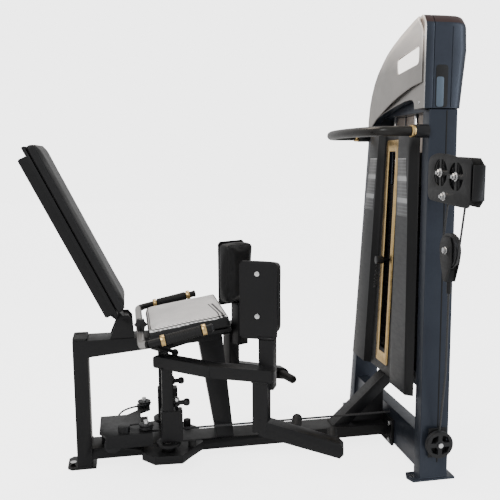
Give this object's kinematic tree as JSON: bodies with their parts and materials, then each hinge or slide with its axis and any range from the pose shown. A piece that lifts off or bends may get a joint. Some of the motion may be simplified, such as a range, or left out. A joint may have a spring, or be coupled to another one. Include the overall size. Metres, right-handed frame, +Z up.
{
  "type": "hip abductor machine",
  "caption": "Selectorised hip abductor gym machine with reclined seat, two swinging padded arms, foot pegs and an enclosed weight tower.",
  "frame": {"origin": "centre of the rear post's foot underside, on the floor and on the machine's mid-plane", "axes": "+X from the seat toward the weight tower, +Y toward the seated user's left, +Z up"},
  "size_m": [1.4274, 1.04, 1.531],
  "materials": {
    "frame_black": "satin powder coat",
    "tower_blue": "satin metallic blue-grey",
    "cover_grey": "silver-grey metallic",
    "shroud_grey": "dark grey satin",
    "gold_trim": "champagne anodised",
    "bright_rod": "polished",
    "bolt_steel": "zinc plated",
    "plate_iron": "black painted",
    "rubber_black": "matt",
    "knob_black": "moulded",
    "wheel_black": "moulded nylon",
    "label_grey": "printed panel",
    "pad_leather": "black vinyl upholstery",
    "seat_leather": "light grey vinyl upholstery",
    "cable_black": "coated steel cable"
  },
  "bodies": {
    "frame": {"base_frame": "frame_black", "rear_post_cap": "rubber_black", "tower_frame": "tower_blue", "flange_bolts": "bolt_steel", "front_shroud": "shroud_grey", "rear_shroud": "shroud_grey", "slot_trim": "gold_trim", "placards": "label_grey", "hood_shell": "tower_blue", "hood_cover": "cover_grey", "hood_screws": "bolt_steel", "guide_rods": "bright_rod", "stack_bumpers": "rubber_black", "lower_plates": "plate_iron", "assist_handle": "frame_black", "handle_collars": "gold_trim", "upper_pulley_bracket": "frame_black", "pulley_axles": "bolt_steel", "lower_pulley_bracket": "frame_black", "rear_pulley_bracket": "frame_black", "drive_cable": "cable_black", "seat_handle_frame": "frame_black", "seat_handle_grips": "rubber_black", "seat_handle_collars": "gold_trim", "backrest_hinge": "frame_black", "arm_pivot_shafts": "bright_rod", "arm_stop_bumpers": "rubber_black"},
    "stack": {"top_plate": "plate_iron", "lifted_plates": "plate_iron", "selector_stem": "bright_rod"},
    "stack_pin": {"selector_pin": "knob_black"},
    "float_block": {"floating_fork": "frame_black"},
    "float_wheel": {"floating_pulley": "wheel_black"},
    "wheel_inner": {"upper_pulley_inner": "wheel_black"},
    "wheel_outer": {"upper_pulley_outer": "wheel_black"},
    "wheel_lower": {"lower_pulley": "wheel_black"},
    "redirect_right": {"rear_redirect_right": "wheel_black"},
    "redirect_left": {"rear_redirect_left": "wheel_black"},
    "guide_right": {"rear_guide_right": "wheel_black"},
    "guide_left": {"rear_guide_left": "wheel_black"},
    "backrest": {"backrest_frame": "frame_black", "backrest_pad": "pad_leather"},
    "knob": {"star_knob": "knob_black"},
    "seat": {"seat_board": "frame_black", "seat_pad": "seat_leather"},
    "lever": {"seat_lever": "knob_black"},
    "right_cam": {"right_cam": "frame_black"},
    "right_arm": {"right_arm_frame": "frame_black", "right_foot_pegs": "rubber_black"},
    "right_pin": {"right_pop_pin": "knob_black"},
    "right_pad": {"right_pad_carrier": "frame_black", "right_pad_bolts": "bolt_steel", "right_thigh_pad": "pad_leather"},
    "left_cam": {"left_cam": "frame_black"},
    "left_arm": {"left_arm_frame": "frame_black", "left_foot_pegs": "rubber_black"},
    "left_pin": {"left_pop_pin": "knob_black"},
    "left_pad": {"left_pad_carrier": "frame_black", "left_pad_bolts": "bolt_steel", "left_thigh_pad": "pad_leather"}
  },
  "joints": [
    {"name": "stack_lift", "type": "slide", "parent": "frame", "child": "stack", "axis": [0, 0, 1], "range_m": [0, 0.19]},
    {"name": "selector_pin_pull", "type": "slide", "parent": "stack", "child": "stack_pin", "axis": [-1, 0, 0], "range_m": [0, 0.07]},
    {"name": "float_drop", "type": "slide", "parent": "frame", "child": "float_block", "axis": [0, 0, 1], "range_m": [-0.0955, 0]},
    {"name": "float_wheel_spin", "type": "hinge", "parent": "float_block", "child": "float_wheel", "pos_m": [1.137, -0.475, 0.802], "axis": [1, 0, 0], "range_deg": [-106, 106]},
    {"name": "inner_wheel_spin", "type": "hinge", "parent": "frame", "child": "wheel_inner", "pos_m": [1.137, -0.429, 1.036], "axis": [1, 0, 0], "range_deg": [-240, 240]},
    {"name": "outer_wheel_spin", "type": "hinge", "parent": "frame", "child": "wheel_outer", "pos_m": [1.137, -0.526, 1.026], "axis": [1, 0, 0], "range_deg": [-240, 240]},
    {"name": "lower_wheel_spin", "type": "hinge", "parent": "frame", "child": "wheel_lower", "pos_m": [1.172, -0.379, 0.135], "axis": [0, 1, 0], "range_deg": [-240, 240]},
    {"name": "right_cam_turn", "type": "hinge", "parent": "frame", "child": "right_cam", "pos_m": [0.291, -0.115, 0.1], "axis": [0, 0, -1], "range_deg": [0, 31]},
    {"name": "right_arm_set", "type": "hinge", "parent": "right_cam", "child": "right_arm", "pos_m": [0.291, -0.115, 0.3], "axis": [0, 0, -1], "range_deg": [-20, 20]},
    {"name": "right_pin_drop", "type": "slide", "parent": "right_arm", "child": "right_pin", "axis": [0, 0, 1], "range_m": [-0.012, 0.003]},
    {"name": "right_pad_swivel", "type": "hinge", "parent": "right_arm", "child": "right_pad", "pos_m": [0.61152, -0.26993, 0.49], "axis": [0, 0, 1], "range_deg": [-12, 12]},
    {"name": "right_redirect_spin", "type": "hinge", "parent": "frame", "child": "redirect_right", "pos_m": [0.215, -0.112, 0.169], "axis": [0, 0, -1], "range_deg": [-54, 54]},
    {"name": "right_guide_spin", "type": "hinge", "parent": "frame", "child": "guide_right", "pos_m": [0.1, -0.066, 0.092], "axis": [0, 1, 0], "range_deg": [-43, 43]},
    {"name": "left_cam_turn", "type": "hinge", "parent": "frame", "child": "left_cam", "pos_m": [0.291, 0.115, 0.1], "axis": [0, 0, 1], "range_deg": [0, 31]},
    {"name": "left_arm_set", "type": "hinge", "parent": "left_cam", "child": "left_arm", "pos_m": [0.291, 0.115, 0.3], "axis": [0, 0, 1], "range_deg": [-20, 20]},
    {"name": "left_pin_drop", "type": "slide", "parent": "left_arm", "child": "left_pin", "axis": [0, 0, 1], "range_m": [-0.012, 0.003]},
    {"name": "left_pad_swivel", "type": "hinge", "parent": "left_arm", "child": "left_pad", "pos_m": [0.61152, 0.26993, 0.49], "axis": [0, 0, 1], "range_deg": [-12, 12]},
    {"name": "left_redirect_spin", "type": "hinge", "parent": "frame", "child": "redirect_left", "pos_m": [0.215, 0.112, 0.169], "axis": [0, 0, 1], "range_deg": [-54, 54]},
    {"name": "left_guide_spin", "type": "hinge", "parent": "frame", "child": "guide_left", "pos_m": [0.1, 0.066, 0.092], "axis": [0, 1, 0], "range_deg": [-43, 43]},
    {"name": "backrest_recline", "type": "hinge", "parent": "frame", "child": "backrest", "pos_m": [0.155, 0, 0.525], "axis": [0, 1, 0], "range_deg": [-24, 14]},
    {"name": "star_knob_turn", "type": "hinge", "parent": "frame", "child": "knob", "pos_m": [0.207, -0.142, 0.537], "axis": [0, 1, 0], "range_deg": [-180, 180]},
    {"name": "seat_adjust", "type": "slide", "parent": "frame", "child": "seat", "axis": [0.9938, 0, 0.1115], "range_m": [0, 0.045]},
    {"name": "seat_lever_turn", "type": "hinge", "parent": "seat", "child": "lever", "pos_m": [0.266, -0.064, 0.44], "axis": [0, 1, 0], "range_deg": [-9, 12]}
  ],
  "couplings": [
    {"joint": "float_drop", "follows": "stack_lift", "ratio": -0.5},
    {"joint": "float_wheel_spin", "follows": "stack_lift", "rad_per_m": 9.6},
    {"joint": "inner_wheel_spin", "follows": "stack_lift", "rad_per_m": -21.7},
    {"joint": "outer_wheel_spin", "follows": "stack_lift", "rad_per_m": -21.7},
    {"joint": "lower_wheel_spin", "follows": "stack_lift", "rad_per_m": 21.7},
    {"joint": "right_cam_turn", "follows": "stack_lift", "rad_per_m": 2.75},
    {"joint": "right_redirect_spin", "follows": "stack_lift", "rad_per_m": 4.8},
    {"joint": "right_guide_spin", "follows": "stack_lift", "rad_per_m": 3.85},
    {"joint": "left_cam_turn", "follows": "stack_lift", "rad_per_m": 2.75},
    {"joint": "left_redirect_spin", "follows": "stack_lift", "rad_per_m": 4.8},
    {"joint": "left_guide_spin", "follows": "stack_lift", "rad_per_m": 3.85}
  ]
}
